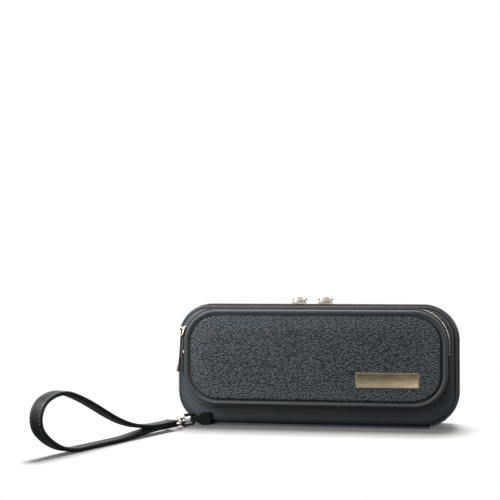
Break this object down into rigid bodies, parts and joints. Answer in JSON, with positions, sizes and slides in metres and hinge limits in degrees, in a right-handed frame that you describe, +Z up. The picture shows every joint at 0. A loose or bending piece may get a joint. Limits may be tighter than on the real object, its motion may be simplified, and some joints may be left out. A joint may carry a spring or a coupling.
{
  "type": "piccolo case",
  "caption": "Zip-around leather case for a piccolo, hinged along its leather spine, with a zipped front pocket, snap hook and wrist strap.",
  "frame": {"origin": "middle of the case's length on the zip's parting plane, on the underside of the spine that the case stands on", "axes": "+X along the case to the picture's right, -Y to the front with the pocket, +Z up from the spine"},
  "size_m": [0.3062, 0.2257, 0.1097],
  "materials": {
    "case_leather": "fine-grained smooth leather, semi-matt",
    "pocket_leather": "pebbled leather, semi-matt",
    "strap_leather": "smooth leather with painted edges",
    "foam_board": "closed-cell foam board",
    "plush_lining": "short plush pile",
    "binding_tape": "woven lining cloth",
    "zip_tape": "woven herringbone tape",
    "nickel": "polished nickel plate",
    "plate_metal": "brushed champagne nickel, bare"
  },
  "bodies": {
    "case_back": {"back_cover": "case_leather", "back_board": "foam_board", "back_lining": "plush_lining", "back_rim_binding": "binding_tape", "back_piping": "case_leather", "spine_back_leaf": "case_leather", "main_zip_tape_back": "zip_tape", "main_zip_teeth_back": "nickel", "main_zip_stops_back": "nickel", "instrument_bed": "plush_lining"},
    "lid": {"lid_cover": "case_leather", "lid_board": "foam_board", "lid_lining": "plush_lining", "lid_rim_binding": "binding_tape", "lid_piping": "case_leather", "lid_pad": "plush_lining", "spine_lid_leaf": "case_leather", "main_zip_tape_lid": "zip_tape", "main_zip_teeth_lid": "nickel", "main_zip_stops_lid": "nickel", "pocket_flange": "case_leather", "pocket_gusset": "case_leather", "pocket_piping": "pocket_leather", "pocket_panel": "pocket_leather", "pocket_lining": "binding_tape", "name_plate": "plate_metal", "pocket_zip_tape_front": "zip_tape", "pocket_zip_tape_rear": "zip_tape", "pocket_zip_teeth_front": "nickel", "pocket_zip_teeth_rear": "nickel", "pocket_zip_stops": "nickel", "strap_tab": "strap_leather"},
    "left_slider": {"top_slider_left": "nickel"},
    "left_pull": {"top_pull_left": "nickel"},
    "right_slider": {"top_slider_right": "nickel"},
    "right_pull": {"top_pull_right": "nickel"},
    "pocket_slider": {"pocket_slider": "nickel"},
    "pocket_pull": {"pocket_pull": "nickel"},
    "hook": {"snap_hook": "nickel"},
    "gate": {"hook_gate": "nickel"},
    "eye": {"swivel_eye": "nickel"},
    "strap": {"wrist_strap": "strap_leather"}
  },
  "joints": [
    {"name": "lid_hinge", "type": "hinge", "parent": "case_back", "child": "lid", "pos_m": [0, 0, 0], "axis": [1, 0, 0], "range_deg": [0, 175]},
    {"name": "left_slider_travel", "type": "slide", "parent": "case_back", "child": "left_slider", "axis": [-1, 0, 0], "range_m": [0, 0.071]},
    {"name": "left_pull_flip", "type": "hinge", "parent": "left_slider", "child": "left_pull", "pos_m": [-0.0151, 0, 0.10745], "axis": [1, 0, 0], "range_deg": [0, 175]},
    {"name": "right_slider_travel", "type": "slide", "parent": "case_back", "child": "right_slider", "axis": [1, 0, 0], "range_m": [0, 0.078]},
    {"name": "right_pull_flip", "type": "hinge", "parent": "right_slider", "child": "right_pull", "pos_m": [0.0075, 0, 0.10745], "axis": [1, 0, 0], "range_deg": [0, 175]},
    {"name": "pocket_slider_travel", "type": "hinge", "parent": "lid", "child": "pocket_slider", "pos_m": [-0.0825, -0.0235, 0.0716], "axis": [0, 1, 0], "range_deg": [0, 70]},
    {"name": "pocket_pull_swing", "type": "hinge", "parent": "pocket_slider", "child": "pocket_pull", "pos_m": [-0.11461, -0.0235, 0.08081], "axis": [0, 1, 0], "range_deg": [0, 150]},
    {"name": "hook_swing", "type": "hinge", "parent": "lid", "child": "hook", "pos_m": [-0.103, -0.02195, 0.0058], "axis": [0, 0, 1], "range_deg": [-60, 45]},
    {"name": "gate_press", "type": "hinge", "parent": "hook", "child": "gate", "pos_m": [-0.10821, -0.03364, 0.0016], "axis": [0.9135, -0.4067, 0], "range_deg": [0, 30], "stiffness_Nm_per_rad": 0.002, "springref_deg": -11.46},
    {"name": "eye_swivel", "type": "hinge", "parent": "hook", "child": "eye", "pos_m": [-0.11113, -0.04022, 0.0058], "axis": [-0.4067, -0.9135, 0], "continuous": true},
    {"name": "strap_lift", "type": "hinge", "parent": "eye", "child": "strap", "pos_m": [-0.11622, -0.05164, 0.0058], "axis": [-0.9135, 0.4067, 0], "range_deg": [0, 60]}
  ]
}
